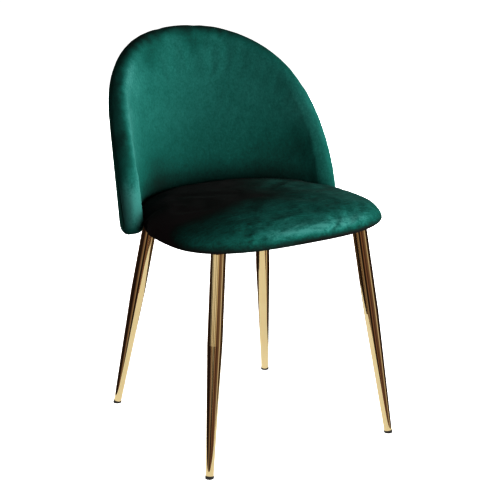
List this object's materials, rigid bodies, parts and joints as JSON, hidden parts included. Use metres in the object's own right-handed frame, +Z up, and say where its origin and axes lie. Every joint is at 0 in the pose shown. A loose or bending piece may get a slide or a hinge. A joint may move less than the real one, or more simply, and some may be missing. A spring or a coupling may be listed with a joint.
{
  "type": "dining chair",
  "caption": "Upholstered dining chair with a round shell back that wraps a padded seat, on splayed tapered metal tube legs.",
  "frame": {"origin": "on the floor, under the middle of the chair's bounding box", "axes": "+Z up, the seat's front towards -Y, +X to the right when looking along +Y"},
  "size_m": [0.4974, 0.5293, 0.787],
  "materials": {
    "velvet": "matte",
    "foam": "matte",
    "plywood": "satin",
    "gold_metal": "polished",
    "zinc_steel": "satin",
    "glide_plastic": "matte",
    "lining": "matte"
  },
  "bodies": {
    "root": {"seat_board": "plywood", "seat_foam": "foam", "seat_cover": "velvet", "dust_cover": "lining", "dust_cover_staples": "zinc_steel", "back_board": "plywood", "back_front_foam": "foam", "back_rear_pad": "foam", "back_front_cover": "velvet", "back_rear_cover": "velvet", "bracket_left": "zinc_steel", "bracket_right": "zinc_steel", "bracket_bolts": "zinc_steel", "bracket_washers": "zinc_steel", "back_tee_nuts": "zinc_steel", "seat_tee_nuts": "zinc_steel", "leg_bolts": "zinc_steel", "leg_washers": "zinc_steel", "leg_front_left": "gold_metal", "leg_front_right": "gold_metal", "leg_rear_left": "gold_metal", "leg_rear_right": "gold_metal", "plate_front_left": "gold_metal", "plate_front_right": "gold_metal", "plate_rear_left": "gold_metal", "plate_rear_right": "gold_metal", "foot_glides": "glide_plastic"}
  },
  "joints": []
}
